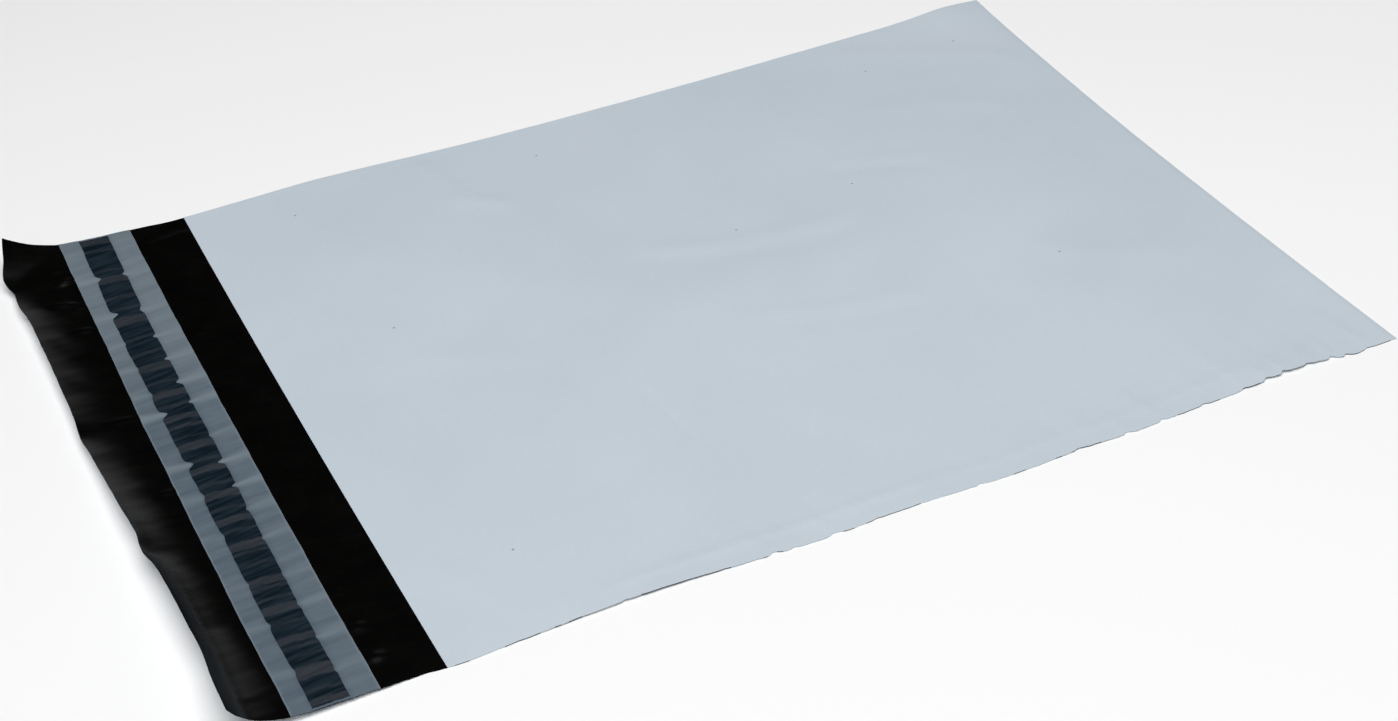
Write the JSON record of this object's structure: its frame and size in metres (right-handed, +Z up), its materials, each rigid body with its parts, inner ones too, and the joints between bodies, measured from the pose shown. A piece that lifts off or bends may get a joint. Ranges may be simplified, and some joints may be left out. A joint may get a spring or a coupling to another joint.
{
  "type": "poly mailer bag",
  "caption": "Flat poly mailer bag, light outside and black inside, with a folded bottom, welded sides and a closing lip whose adhesive strip lies under a release liner.",
  "frame": {"origin": "on the surface that the bag lies on, under the middle of the bag with its lip spread out", "axes": "+X from the lip's free edge to the bottom fold, +Y from the near side weld to the far one, +Z up out of the front panel"},
  "size_m": [0.2997, 0.2, 0.0114],
  "materials": {
    "film": "satin co-extruded polyethylene film, light blue-grey outside and black inside",
    "adhesive": "glossy pressed hot-melt adhesive",
    "liner": "satin translucent blue-grey release film"
  },
  "bodies": {
    "root": {"mailer_film": "film", "adhesive_strip": "adhesive", "release_liner": "liner"}
  },
  "joints": []
}
